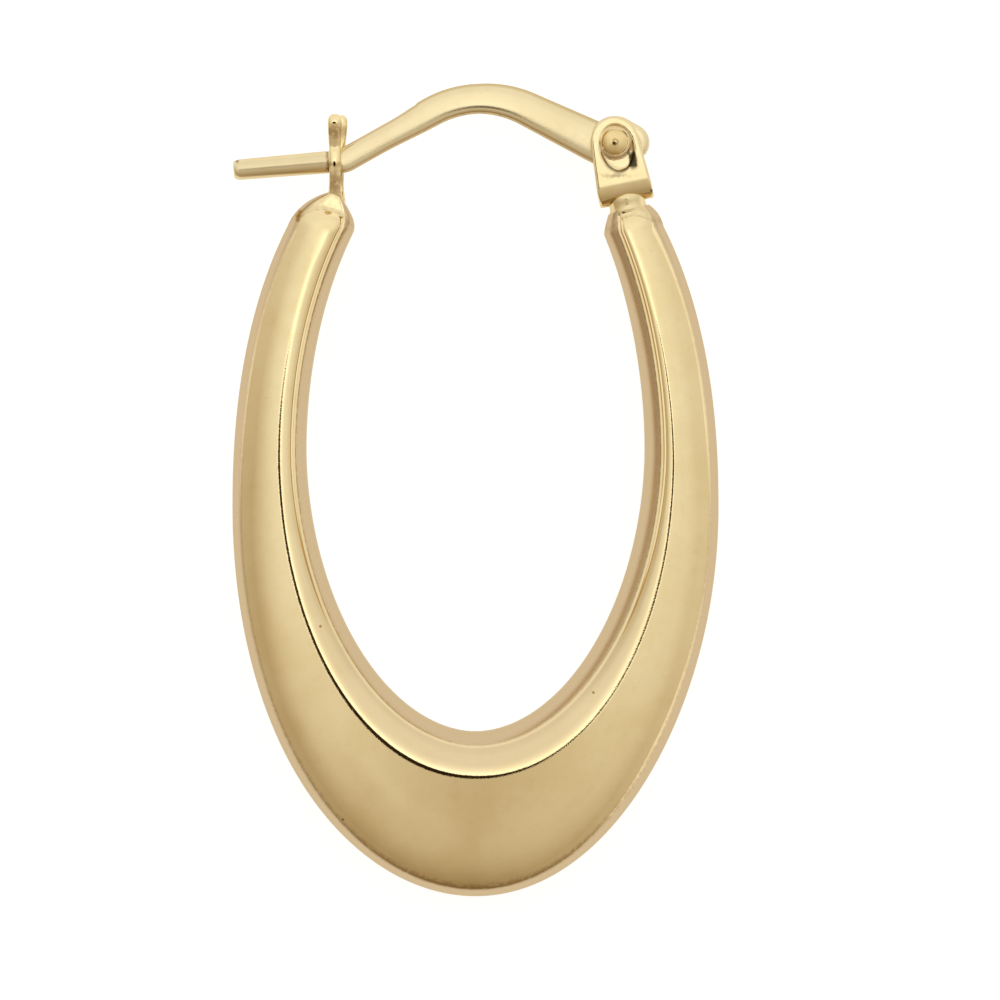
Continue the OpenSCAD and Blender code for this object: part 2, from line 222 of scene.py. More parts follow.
def sectionRows(angle):
    # leg row blended to the foot row by a power of the cosine, and to the end row by a power of the angle
    s = sectionShape
    degrees = np.degrees(np.abs(angle))
    toFoot = np.maximum(np.cos(angle), 0) ** s["footPower"]
    toEnd = np.maximum(0, (degrees - 90) / (hoopShape["endAngle"] - 90)) ** s["endPower"]
    rows = legRow + (footRow - legRow) * toFoot[:, None] + (endRow - legRow) * toEnd[:, None]
    fade = np.where(angle < 0, smoothShare(*s["leftFade"], degrees), smoothShare(*s["rightFade"], degrees))
    rows[:, 1] += s["ridgeSkew"] * np.maximum(0, np.sin(s["ridgeSkewTurns"] * angle))
    rows[:, 5] += np.where(angle < 0, *s["ledgeSkew"]) * np.sin(angle)
    rows[:, 6] = mix(rows[:, 6] * (1 - s["crestSkew"] * np.sin(angle)), s["softCrest"], fade)
    return rows


def squareness(edge, angle, across):
    # sine of the angle between an edge, from two points close together, and the line across the band
    step = 0.001
    along = unit(edge(angle + step) - edge(angle - step))
    return np.abs(along[:, 0] * across[:, 1] - along[:, 1] * across[:, 0])[:, None]


def softRamp(u, c):
    # 0 below -c, the value itself above c, and a parabola between
    return np.where(u < -c, 0, np.where(u > c, u, (u + c) ** 2 / (4 * c)))


def rollArc(width, height, slope, steps):
    # quarter of a tilted ellipse that leaves the seam upright and reaches (width, height) at the slope asked for
    steepest = 0.49  # the quarter would be a straight line at a half
    k = np.minimum(slope * width / height, steepest)
    cosEnd = k / (1 - k)
    f = np.arccos(cosEnd) * np.linspace(0, 1, steps)[None, :]
    return width * (1 - np.cos(f)) / (1 - cosEnd), height * np.sin(f) / np.sqrt(1 - cosEnd ** 2)


def sectionAt(angle):
    # front half of the section from the outer seam over the dome, ridge, rail and ledge to the inner seam:
    # distance from the outer edge and height. The line across the band isn't square to its edges, so a width
    # measured square to an edge is divided by the squareness there. The marks say where the painted shade of the
    # rolls, rail, crease and shoulder, the ridge's grain and the dark seam go.
    s, m = sectionShape, sectionMarks
    outer, hole = outerEdge(angle), holeEdge(angle)
    w = np.linalg.norm(hole - outer, axis=1, keepdims=True)
    across = (hole - outer) / w
    rows = sectionRows(angle)
    full, ridgeFrom, fall, power, rollH, ledgeFrom, crest, n = (rows[:, k:k + 1] for k in range(8))
    atHole = squareness(holeEdge, angle, across)
    edgeRollW = s["edgeRollW"] / squareness(outerEdge, angle, across)
    railW, innerW, crest = ridgeFrom / atHole, ledgeFrom / atHole, crest / atHole
    domeRun, railRun = w - railW - edgeRollW, railW - innerW
    t0, r0 = s["domeCrestSlope"], s["railCrestSlope"]
    t1 = ((full - rollH) / domeRun - t0) * (power + 1)
    r1 = ((fall - s["ledgeFall"]) / railRun - r0) * (n + 1)

    def surface(u):
        # height at a distance outwards from the ridge: two straight slopes joined by a parabola, and a power of u
        drop = t0 * softRamp(u, crest) + r0 * softRamp(-u, crest)
        drop = drop + t1 * domeRun / (power + 1) * (np.maximum(u, 0) / domeRun) ** (power + 1)
        return full - drop - r1 * railRun / (n + 1) * (np.maximum(-u, 0) / railRun) ** (n + 1)

    span = s["crestSpan"]
    domeU = span + (domeRun - span) * np.linspace(1, 0, domeSteps + 1)[None, :-1] ** s["domeCrowding"]
    crestU = np.broadcast_to(np.linspace(span, -span, crestSteps)[None, :], (len(w), crestSteps))
    railU = -span - (railRun - span) * np.linspace(0, 1, railSteps + 1)[None, 1:] ** s["railCrowding"]
    u = np.concatenate([domeU, crestU, railU], 1)
    topX, topZ = w - railW - u, surface(u)

    edgeX, edgeZ = rollArc(edgeRollW, topZ[:, :1], t0 + t1, rollSteps + 1)

    ledgeEnd = s["filletW"] + s["ledgeW"]
    ledgeX = np.array([0.5 * s["filletW"], s["filletW"], s["filletW"] + 0.5 * s["ledgeW"], ledgeEnd,
                       ledgeEnd + 0.5 * s["turnW"], ledgeEnd + s["turnW"]])[None, :] / atHole
    endSlope = r0 + r1
    restH = topZ[:, -1:] - s["innerFall"]
    restW = innerW - ledgeX[:, -1:]
    innerSlope = np.minimum(s["innerSlope"], s["innerSteepest"] * restH / restW)
    ledgeSlope = np.full_like(w, s["ledgeSlope"])
    slopes = np.concatenate([mix(endSlope, ledgeSlope, 0.5), ledgeSlope, ledgeSlope, ledgeSlope,
                             mix(ledgeSlope, innerSlope, 0.5), innerSlope], 1)
    before = np.concatenate([endSlope, slopes[:, :-1]], 1)
    steps = np.diff(ledgeX, axis=1, prepend=0)
    ledgeZ = topZ[:, -1:] - np.cumsum((slopes + before) / 2 * steps, 1)

    restX, restZ = rollArc(restW, ledgeZ[:, -1:], innerSlope, innerSteps + 1)
    innerX, innerZ = (w - restX)[:, ::-1][:, 1:], restZ[:, ::-1][:, 1:]

    x = np.concatenate([edgeX[:, :-1], topX, topX[:, -1:] + ledgeX, innerX], 1)
    z = np.concatenate([edgeZ[:, :-1], topZ, ledgeZ, innerZ], 1)
    groove = s["seamDepth"] * bump01(z, 0, s["seamHalfW"])
    toFoot = np.maximum(np.cos(angle), 0)[:, None] ** m["footPower"]
    # painted shade in the crease by the hole and along the outer shoulder; the seam is a dark joint
    crease = bump01((w - restW - x) * atHole, m["creaseAt"], m["creaseHalfW"]) \
        * mix(*m["creaseTone"], ridgeFrom - m["creaseFullAt"])
    shoulder = bump01(x, edgeRollW, m["shoulderHalfW"]) * mix(*m["shoulderTone"], toFoot ** 3)
    seam = bump01(z, 0, m["seamHalfW"]) * m["seamTone"]
    x = x + np.where(x < w / 2, groove, -groove)
    z[:, 0] = z[:, -1] = 0
    # the rolls take the painted shade of the side tone, and more roughness
    roll = np.zeros_like(x)
    roll[:, :rollSteps] = 1
    roll[:, -innerSteps:] = 1
    roll[:, rollSteps], roll[:, -innerSteps - 1] = m["rollEnds"]
    fromRidge, fromLedge = (w - railW - x) * atHole, (w - innerW - x) * atHole
    ridge = bump01(fromRidge, m["ridgeAt"], m["ridgeHalfW"]) \
        + m["ledgeTone"] * bump01(fromLedge, m["ledgeAt"], m["ledgeHalfW"])
    ridge = ridge * smoothShare(*m["ridgeFade"], np.degrees(np.abs(angle)))[:, None]
    # painted shade on the rail, coming in over its steep part towards the hole
    rail = smoothShare(0, -m["railFadeW"], fromRidge) * (1 - roll) * mix(*m["railTone"], toFoot)
    marks = dict(roll=roll, ridge=ridge, low=np.minimum(1, crease + shoulder + seam), rail=rail)
    return w, across, x, z, marks


def wholeRound(front, sign=1):
    # front half, then the back half from its inner end, without repeating the two seam points
    return np.concatenate([front, sign * front[:, -2:0:-1]], 1)


# The closed ends: length, lean, half width and half depth of the tip, fullness on the outer and the hole side,
# height of the flange round the bullet, and share of the length at which the bullet ends
catchEnd = dict(side=-1, length=1.39, lean=23.3, tipHalfW=0.265, tipHalfD=0.51, outerFull=2.0, holeFull=2.2,
                flange=0.56, bullet=0.66)
hingeEnd = dict(side=1, length=0.78, lean=14.0, tipHalfW=0.75, tipHalfD=0.72, outerFull=2.3, holeFull=1.3,
                flange=0.70, bullet=0.9)
endShape = dict(
    rings=27,
    blend=6,  # power that rounds the corner between flange and bullet
    early=0.05,  # the bullet's ellipse starts a little past its top, so that the fall of the band goes on
    shadeFrom=0.3,  # share of the length over which the marks come in
    lowBand=(0.02, -0.03),  # height of the bullet over the flange, where the flange's painted shade comes in
    lowRoll=0.2,
    lowTone=0.15,
    borderAt=-0.01,
    borderHalfW=0.035,
    borderTone=0.3,  # painted shade where the bullet meets the flange
)


def bandMiddle(angle):
    # halfway between the two edges
    return (outerEdge(angle) + holeEdge(angle)) / 2


def endTip(end):
    # the band's middle at its last ring, and the end's length further on
    return bandMiddle(np.array(math.radians(end["side"] * hoopShape["endAngle"]))) \
        + end["length"] * leanUp(end["side"] * end["lean"])


def endRings(end):
    # rings that round the band off: in the plane they shrink by powers of the share of the length, and in height
    # they are the larger of a low flange and of a bullet that falls as a quarter ellipse
    s = endShape
    angle = np.array([math.radians(end["side"] * hoopShape["endAngle"])])
    w, start, x, z, marks = sectionAt(angle)
    share = np.sin(np.linspace(0, math.pi / 2, s["rings"] + 1)[1:])[:, None]
    axis = leanUp(end["side"] * end["lean"])
    across = unit(mix(start, turned(axis, end["side"] * 90)[None, :], share))
    tipX = 2 * end["tipHalfW"] / w[0]
    outerSize = mix(1, tipX, share ** end["outerFull"])
    holeSize = mix(1, tipX, share ** end["holeFull"])
    offset = (x - w[0] / 2) * np.where(x < w[0] / 2, outerSize, holeSize)

    power = s["blend"]
    flat = z / (1 + (z / end["flange"]) ** power) ** (1 / power)
    flange = flat * mix(end["tipHalfD"] / end["flange"], 1, np.sqrt(1 - share ** 2))
    whole = end["bullet"] + s["early"]
    fallen = (share + s["early"]) / whole
    bullet = z * np.sqrt(np.maximum(0, 1 - fallen ** 2) / (1 - (s["early"] / whole) ** 2))
    larger = (flange ** power + bullet ** power) ** (1 / power)
    atStart = (flat ** power + z ** power) ** (1 / power)
    height = larger * mix(z / np.maximum(atStart, tiny), 1, share)

    middle = bandMiddle(angle) + axis[None, :] * end["length"] * share
    roundX, roundZ = wholeRound(offset), wholeRound(height, -1)
    place = middle[:, None, :] + across[:, None, :] * roundX[:, :, None]
    points = np.concatenate([place, roundZ[:, :, None]], 2)
    # painted shade on the flange past the bullet and where the bullet meets it, coming in along the end
    shadeShare = smoothShare(0, s["shadeFrom"], share)
    low = smoothShare(*s["lowBand"], bullet - flange) * shadeShare
    border = bump01(bullet - flange, s["borderAt"], s["borderHalfW"]) * shadeShare
    darkening = s["lowTone"] * low + s["borderTone"] * border
    marks = dict(roll=wholeRound(np.maximum(marks["roll"] * np.ones_like(share), s["lowRoll"] * low)),
                 ridge=wholeRound(np.zeros_like(low)), rail=wholeRound(marks["rail"] * (1 - share)),
                 low=wholeRound(np.maximum(marks["low"] * (1 - share), darkening)))
    return points, marks


def hoopBand():
    # the band's rings, with the section laid across from the outer to the hole's oval
    end = math.radians(hoopShape["endAngle"])
    angle = np.linspace(-end, end, hoopShape["rings"])
    across, x, z, marks = sectionAt(angle)[1:]
    place = outerEdge(angle)[:, None, :] + across[:, None, :] * wholeRound(x)[:, :, None]
    points = np.concatenate([place, wholeRound(z, -1)[:, :, None]], 2)
    return points, {key: wholeRound(mark) for key, mark in marks.items()}


# Meshes from grids

dropToPlace = cadLow.y / metresPerMm + hoopShape["outerDrop"]
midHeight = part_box("hoop")[1].z / metresPerMm / 2
inPlace = np.array([0, dropToPlace, midHeight])
markNames = ("roll", "ridge", "low", "rail")


def surfaceMesh(name, grids, marks):
    # each grid is rows of closed rings: a face joins four neighbours, and a point closes each end
    corners, faces, uvs, values = [], [], [], {k: [] for k in marks[0]}
    first = 0
    for g, grid in enumerate(grids):
        rows, cols = grid.shape[:2]
        ends = np.stack([grid[0].mean(0), grid[-1].mean(0)])
        flat = np.concatenate([grid.reshape(-1, 3), ends])
        r, c = np.meshgrid(np.arange(rows - 1), np.arange(cols), indexing="ij")
        nextC = (c + 1) % cols
        quads = [r * cols + c, r * cols + nextC, (r + 1) * cols + nextC, (r + 1) * cols + c]
        quads = np.stack(quads, -1).reshape(-1, 4)
        ring = np.arange(cols)
        ringNext = (ring + 1) % cols
        lastRow = (rows - 1) * cols
        startCap = np.stack([ringNext, ring, np.full(cols, rows * cols)], -1)
        endCap = np.stack([lastRow + ring, lastRow + ringNext, np.full(cols, rows * cols + 1)], -1)
        a, b, d = (flat[np.concatenate([quads[:, k] for k in ks] + [startCap[:, m], endCap[:, m]])]
                   for ks, m in (((0, 0), 0), ((1, 2), 1), ((2, 3), 2)))
        if np.einsum("ij,ij->i", a, np.cross(b, d)).sum() < 0:  # faces point inwards, so turn them round
            quads, startCap, endCap = quads[:, ::-1], startCap[:, ::-1], endCap[:, ::-1]
        length = np.concatenate([[0], np.cumsum(np.linalg.norm(np.diff(grid.mean(1), axis=0), axis=1))])
        u = length[quads // cols]
        v = (quads % cols) / cols
        v = np.where((v == 0) & (v.max(1, keepdims=True) > 0.5), 1.0, v)
        uvs.append(np.stack([u, v], -1).reshape(-1, 2))
        for cap, row in ((startCap, 0), (endCap, rows - 1)):
            spot = np.stack([np.full(cap.shape, length[row]), (cap % cols) / cols], -1)
            uvs.append(spot.reshape(-1, 2))
        corners.append(flat)
        for part in (quads, startCap, endCap):
            faces.extend((part + first).tolist())
        for key in values:
            mark = marks[g][key]
            values[key].append(np.concatenate([mark.reshape(-1), mark[0].mean(keepdims=True),
                                               mark[-1].mean(keepdims=True)]))
        first += len(flat)
    points = (np.concatenate(corners) + inPlace) * metresPerMm
    mesh = bpy.data.meshes.new(name)
    mesh.from_pydata(points.tolist(), [], faces)
    layer = mesh.uv_layers.new(name="lengthAndRound")
    layer.data.foreach_set("uv", np.concatenate(uvs).astype(np.float32).ravel())
    for key, parts in values.items():
        attribute = mesh.attributes.new(key, "FLOAT", "POINT")
        attribute.data.foreach_set("value", np.concatenate(parts).astype(np.float32))
    mesh.polygons.foreach_set("use_smooth", np.full(len(mesh.polygons), True))
    mesh.validate()
    piece = bpy.data.objects.new(name, mesh)
    bpy.context.scene.collection.objects.link(piece)
    return piece


def marksOf(grid, **given):
    # marks of a grid, none where they aren't given
    return {k: given.get(k, 0) * np.ones(grid.shape[:2]) for k in markNames}


bandPoints, bandMarks = hoopBand()
leftPoints, leftMarks = endRings(catchEnd)
rightPoints, rightMarks = endRings(hingeEnd)
hoopPoints = np.concatenate([leftPoints[::-1], bandPoints, rightPoints])
hoopMarks = {k: np.concatenate([leftMarks[k][::-1], bandMarks[k], rightMarks[k]]) for k in bandMarks}
hoopShell = surfaceMesh("hoopShell", [hoopPoints], [hoopMarks])
print("hoop shell:", len(hoopShell.data.polygons), "faces")


# Swept strips and turned shapes

def stripRings(centre, side, normal, halfW, halfT, fullness, cols):
    # superellipse rings: side * halfW across and normal * halfT through, round a centre line
    f = np.linspace(0, 2 * math.pi, cols, endpoint=False)[None, :]
    n = np.reshape(fullness, (-1, 1)) * np.ones((len(centre), 1))
    x = np.reshape(halfW, (-1, 1)) * signedPower(np.cos(f), n)
    y = np.reshape(halfT, (-1, 1)) * signedPower(np.sin(f), n)
    return centre[:, None, :] + side[:, None, :] * x[:, :, None] + normal[:, None, :] * y[:, :, None]


def turnedRings(profile, cols, origin, axis, acrossA, acrossB):
    # profile rows of radius and height, turned round an axis
    f = np.linspace(0, 2 * math.pi, cols, endpoint=False)
    circle = np.cos(f)[:, None] * acrossA[None, :] + np.sin(f)[:, None] * acrossB[None, :]
    table = np.array(profile, float)
    return origin[None, None, :] + table[:, 1, None, None] * axis + table[:, 0, None, None] * circle[None, :, :]


towardsViewer = np.array([0.0, 0.0, 1.0])

# The catch: rows up each prong, with the columns height above the ear wire's centre,
# distance of its middle from the mid plane, half width, half thickness
prongRows = [
    [-1.42, 0.20, 0.30, 0.17],
    [-1.20, 0.33, 0.26, 0.155],
    [-0.95, 0.43, 0.215, 0.15],
    [-0.65, 0.52, 0.20, 0.15],
    [-0.35, 0.58, 0.205, 0.15],
    [-0.05, 0.61, 0.22, 0.15],
    [0.30, 0.585, 0.215, 0.145],
    [0.52, 0.56, 0.21, 0.12],
    [0.75, 0.60, 0.225, 0.14],
    [1.10, 0.70, 0.24, 0.135],
    [1.35, 0.765, 0.25, 0.13],
    [1.55, 0.76, 0.22, 0.11],
    [1.66, 0.74, 0.12, 0.07],
]
# Painted shade below the top curl and on the shank, and a painted shadow beside the wire: strength, height and
# half width
shadeBands = [(0.7, 1.05, 0.28), (0.6, -0.1, 0.08), (0.65, -0.7, 0.4)]
catchShape = dict(
    wireH=1.2,  # the ear wire's centre over the end of the band
    backShift=0.08,
    backLean=2.4,
    fullness=2.8,
    rings=90,
    cols=28,
)
catchTip = endTip(catchEnd)
wireInCatch = catchTip + np.array([0, catchShape["wireH"]])


def prongRings(side):
    # strip swept up its side curve, its thickness square to the curve; the back one is shifted and leans
    rows = throughRows(prongRows, catchShape["rings"])
    h, off, halfW, halfT = rows.T
    back = side < 0
    lean = math.tan(math.radians(catchShape["backLean"])) if back else 0
    x = wireInCatch[0] + (catchShape["backShift"] if back else 0) + (h + catchShape["wireH"]) * lean
    centre = np.stack([x, wireInCatch[1] + h, side * off], 1)
    along = unit(np.gradient(centre, axis=0))
    across = np.tile(np.array([1.0, 0, 0]), (len(h), 1))
    normal = unit(np.cross(along, across))
    rings = stripRings(centre, across, normal, halfW, halfT, catchShape["fullness"], catchShape["cols"])
    # painted shade and shadow in bands along the prong
    shadeShare = sum(strength * bump01(h, place, spread) for strength, place, spread in shadeBands)
    return rings, marksOf(rings, low=shadeShare[:, None])


prongs, prongMarks = zip(prongRings(1), prongRings(-1))
catchFork = surfaceMesh("catchFork", prongs, prongMarks)
print("catch:", len(catchFork.data.polygons), "faces")


# The hinge bracket: a strip bent to a U on a turned neck

bracketShape = dict(
    neckL=0.24,
    lean=11.6,
    topR=0.86,  # radius of the round top
    tangentH=0.0625,  # where the straight sides touch the round top
    tangentHalfW=0.8577,
    baseHalfW=1.02,
    drop=2.2,  # rivet down to the underside
    taper=0.03,  # the sides draw in a little round the bend
    taperRun=(-1.55, -2.1),
    halfT=0.15,
    cornerR=0.07,
    standOff=0.60,  # middle of each cheek from the mid plane
    dishX=0.03,
    dishY=-0.22,
    dishHalfW=0.64,
    dishHalfH=0.90,
    dishDepth=0.11,
    dishFloor=0.80,  # share of the dish where its floor is reached
    seatR=0.60,
    seatEdge=0.09,
    seatHeight=0.09,
    seatFade=0.85,
    faceTilt=0.065,  # slope of the front face, down to the right
    topRings=34,
    sideRings=30,
    bendRings=40,
    faceSteps=46,
    cornerSteps=5,
)

# Marks on the bracket's front, some of them painted shade: strengths, and places and half widths from the rivet
bracketMarks = dict(
    blot=1.3,  # darker patch in the lower right of the dish
    blotX=0.50,
    blotY=-0.76,
    blotHalfW=0.15,
    blotHalfH=0.30,
    grooveTone=0.5,  # painted shade in the groove round the rivet's seat
    grooveGap=0.01,
    grooveHalfW=0.03,
    grooveEnd=0.95,
    rimTone=0.9,  # painted shade on the lower rim of the dish
    rimAt=0.92,
    rimHalfW=0.06,
    rimRun=(-0.2, -0.7),
    scuffTone=0.55,
    scuffX=-0.2,
    scuffY=-1.22,
    scuffHalfW=0.55,
    scuffHalfH=0.09,
    scuffSlope=0.2,
    chipX=0.93,  # chip on the right edge
    chipY=-1.88,
    chipHalfW=0.06,
    chipHalfH=0.09,
    seatTone=0.7,
    seatBlend=(0.02, -0.03),
)
bracketAxis = leanUp(bracketShape["lean"])
bracketAcross = -turned(bracketAxis, 90)
hingeTip = endTip(hingeEnd)
pivot = hingeTip + bracketAxis * (bracketShape["neckL"] + bracketShape["drop"])


def bracketRings():
    # the strip's middle runs down the front cheek, round the bend and up the back cheek;
    # each ring is a rectangle with round corners, and the front face is dished round the rivet
    b, m = bracketShape, bracketMarks
    bendH = -b["drop"] + b["standOff"] + b["halfT"]
    topStart = 0.06  # radians past the very top, where the strip has no width
    top = b["topR"] * np.cos(np.linspace(topStart, math.pi / 2, b["topRings"]))
    straight = np.linspace(0, bendH, b["sideRings"])[1:]
    bend = np.linspace(0, math.pi, b["bendRings"])[1:-1]
    h = np.concatenate([top, straight, bendH - b["standOff"] * np.sin(bend), straight[::-1], top[::-1]])
    flatCount = len(top) + len(straight)
    z = np.concatenate([np.full(flatCount, b["standOff"]), b["standOff"] * np.cos(bend),
                        np.full(flatCount, -b["standOff"])])
    sideW = mix(b["tangentHalfW"], b["baseHalfW"], (b["tangentH"] - h) / (b["tangentH"] + b["drop"]))
    halfW = np.where(h > b["tangentH"], np.sqrt(np.maximum(b["topR"] ** 2 - h ** 2, 0)), sideW)
    halfW = halfW - b["taper"] * smoothShare(*b["taperRun"], h)
    outward = np.concatenate([np.tile([0, 1.0], (flatCount, 1)), np.stack([-np.sin(bend), np.cos(bend)], 1),
                              np.tile([0, -1.0], (flatCount, 1))])
    faceX = np.linspace(-1, 1, b["faceSteps"])
    backX = faceX[::-1][::3]
    turn = np.linspace(0, math.pi / 2, b["cornerSteps"])[1:-1]
    sinT, cosT = np.sin(turn), np.cos(turn)
    face, back, bent, one = np.zeros(len(faceX)), np.zeros(len(backX)), np.ones(len(turn)), np.ones(1)
    # one ring, from the front face round: shares of the half width less the corner and of the half thickness,
    # and of the corner's radius along both
    x = np.concatenate([faceX, bent, one, bent, backX, -bent, -one, -bent])
    cornerX = np.concatenate([face, sinT, one, cosT, back, -sinT, -one, -cosT])
    through = np.concatenate([face + 1, bent, 0 * one, -bent, back - 1, -bent, 0 * one, bent])
    cornerT = np.concatenate([face, cosT - 1, 0 * one, 1 - sinT, back, 1 - cosT, 0 * one, sinT - 1])
    cornerR = np.minimum(b["cornerR"], halfW)[:, None]
    px = x[None, :] * (halfW[:, None] - cornerR) + cornerX[None, :] * cornerR
    pt = through[None, :] * b["halfT"] + cornerT[None, :] * b["cornerR"]
    onFront = (through > 0.5)[None, :] & (z > b["standOff"] / 2)[:, None]
    dishR = np.hypot((px - b["dishX"]) / b["dishHalfW"], (h[:, None] - b["dishY"]) / b["dishHalfH"])
    rivetR = np.hypot(px, h[:, None])
    dish = -b["dishDepth"] * smoothShare(1.0, b["dishFloor"], dishR)
    seat = b["seatHeight"] * smoothShare(b["seatR"], b["seatR"] - b["seatEdge"], rivetR)
    pt = pt + np.where(onFront, dish + seat * smoothShare(1.0, b["seatFade"], dishR), 0)
    onFace = (through > 0.5)[None, :] & (outward[:, 1] > 0)[:, None]
    pt = pt - np.where(onFace, b["faceTilt"] * px * outward[:, 1:], 0)
    centre = pivot[None, :] + bracketAxis[None, :] * h[:, None]
    flat = centre[:, None, :] + bracketAcross * px[:, :, None] + bracketAxis * (pt * outward[:, :1])[:, :, None]
    high = z[:, None] + pt * outward[:, 1:]
    rings = np.concatenate([flat, high[:, :, None]], 2)
    py = h[:, None]
    blot = np.exp(-((px - m["blotX"]) / m["blotHalfW"]) ** 4 - ((py - m["blotY"]) / m["blotHalfH"]) ** 4)
    groove = bump01(rivetR, b["seatR"] + m["grooveGap"], m["grooveHalfW"]) * (dishR < m["grooveEnd"])
    rim = bump01(dishR, m["rimAt"], m["rimHalfW"]) * smoothShare(*m["rimRun"], py)
    scuffs = bump01(py + m["scuffSlope"] * px, m["scuffY"], m["scuffHalfH"]) \
        * bump01(px, m["scuffX"], m["scuffHalfW"])
    chip = bump01(px, m["chipX"], m["chipHalfW"]) * bump01(py, m["chipY"], m["chipHalfH"])
    # painted shade in the seat's groove and on the dish's lower rim, with a darker patch, scuffs and a chip
    low = m["blot"] * blot + m["grooveTone"] * groove + m["rimTone"] * rim + m["scuffTone"] * scuffs + chip
    blendFrom, blendTo = m["seatBlend"]
    ring = smoothShare(b["seatR"] + blendFrom, b["seatR"] + blendTo, rivetR)
    return rings, marksOf(rings, low=np.where(onFront, np.minimum(1, low), 0),
                          roll=np.where(onFront, m["seatTone"] * ring, 0))


axis3 = np.append(bracketAxis, 0)
across3 = np.append(bracketAcross, 0)
# Radius and height of the neck over the end of the band
neckRows = [[0.60, -0.16], [0.715, -0.09], [0.70, -0.03], [0.665, 0.05], [0.65, 0.14], [0.655, 0.24],
            [0.67, 0.34], [0.665, 0.46], [0.60, 0.58]]
neckShape = dict(rings=44, cols=72, footLineH=-0.03, footLineHalfH=0.035, footLineTone=0.5)
neckProfile = throughRows(neckRows, neckShape["rings"])
neck = turnedRings(neckProfile, neckShape["cols"], np.append(hingeTip, 0), axis3, across3, towardsViewer)
strip, stripMarks = bracketRings()
# darker line round the neck near its foot, where it meets the band
neckFootLine = neckShape["footLineTone"] * bump01(neckProfile[:, 1:], neckShape["footLineH"], neckShape["footLineHalfH"])
neckMarks = marksOf(neck, ridge=1, low=neckFootLine)
hingeBracket = surfaceMesh("hingeBracket", [strip, neck], [stripMarks, neckMarks])
print("hinge bracket:", len(hingeBracket.data.polygons), "faces")


# The rivet: a shank with a low dome at each end

rivetShape = dict(
    shankR=0.3,
    headR=0.45,
    headH=0.24,
    seat=0.77,  # underside of each head from the mid plane
    edgeH=0.03,
    edgeRows=((0.985, 0.008), (0.95, 0.0)),  # share of the head's radius, and height over its underside
    rings=26,
    cols=64,
    reflectionR=0.09,  # painted dark reflection round the middle of each head
    reflectionHalfW=0.05,
    reflectionTone=0.8,
)


def rivetProfile():
    # quarter ellipse domes on a straight shank, with a small edge under each head
    r = rivetShape
    firstTurn = 0.02  # radians from the very middle, where a ring has no width
    f = np.linspace(firstTurn, math.pi / 2, r["rings"])
    dome = np.stack([r["headR"] * np.sin(f), r["seat"] + r["edgeH"] + (r["headH"] - r["edgeH"]) * np.cos(f)], 1)
    edge = [[r["headR"] * share, r["seat"] + height] for share, height in r["edgeRows"]]
    half = np.concatenate([dome, edge, [[r["shankR"], r["seat"]]]])
    return np.concatenate([half, (half * [1, -1])[::-1]])


rivetRows = rivetProfile()
rivetRings = turnedRings(rivetRows, rivetShape["cols"], np.append(pivot, 0), towardsViewer, np.array([1.0, 0, 0]),
                         np.array([0, 1.0, 0]))
# painted reflection: a dark ring round the middle of each head
paintedReflection = rivetShape["reflectionTone"] * bump01(rivetRows[:, :1], rivetShape["reflectionR"], rivetShape["reflectionHalfW"])
hingeRivet = surfaceMesh("hingeRivet", [rivetRings], [marksOf(rivetRings, low=paintedReflection)])
print("rivet:", len(hingeRivet.data.polygons), "faces")


# The ear wire: round post, bend, hammered arch and eye

wireShape = dict(
    postR=0.40,
    tipR=0.365,  # the post tapers a little towards its tip
    postL=3.64,
    nose=0.24,
    postSlope=4.9,
    bendGap=0.33,
    bendR=0.8,
    archBack=4.87,
    archRise=2.05,
    archR=3.75,
    drop=0.31,
    blunt=0.62,  # share of the post's radius at its very tip
    flatRun=(-0.1, 0.32),  # from the catch, where the round post turns into the flat wire
    climbHalfW=0.4425,
    archHalfW=0.535,
    hingeHalfW=0.725,
    upperRuns=((-2.75, -1.75, 0.6), (-1.92, -1.80, 0.4)),  # where the upper edge widens: from, to and share
    lowerRun=(-3.6, -1.4),
    hingeRun=0.85,  # share of the way from the arch to the rivet over which the wire widens
    halfT=0.39,
    flatness=4.0,
    twist=-0.11,  # slope of the flat face across the wire
    twistFullness=4.0,
    grooveDepth=0.02,  # groove that the catch has worn, left of it
    grooveAt=-0.25,
    grooveHalfW=0.045,
    rings=(14, 90, 18, 70, 60, 46),  # along the nose, the post, the bend, the climb, the arch and the run down
    cols=48,
    endGap=0.47,  # end of the sweep from the rivet
    eyeR=0.97,
    eyeHalfT=0.40,
    eyeFullness=5.0,
    rimFullness=(2, 7),  # of a section at no width, and more for each mm of half width
    holeR=0.35,
    heelBack=0.57,
    heelR=0.68,
    heelRun=(0.75, 0.45),  # turn from the heel's middle over which the file marks come in
    toothH=0.018,
    teeth=95,  # file marks for each radian
    eyeRings=241,
    eyeCols=40,
)

# Where the ear wire is matt or dirty, and where shade is painted on it
wireMarks = dict(
    edgeRun=(0.72, 0.96),  # share of the half width over which the edges get painted shade and more roughness
    insideHalfW=2.2,  # painted shade on the lower edge inside the arch
    insideTone=0.35,
    # painted shadow in the groove beside the catch
    grooveTone=0.8,
    nickAt=0.16,  # dark nick on the nose of the post
    nickHalfW=0.07,
    nickTurn=0.5,
    nickHalfTurn=0.35,
    mattRun=(-0.25, -0.45),  # share of the half width below which the straight runs are matt
    mattTone=1.6,
    rimRun=(0.8, 1.0),
    rimTone=0.7,
    grimeSpots=((0.9, 1.95, 0.2), (0.6, 0.65, 0.2), (0.6, -0.42, 0.12)),  # strength, place round the eye, spread
    toothTone=0.35,
    toothLow=-0.006,
    heelTone=0.1,
)


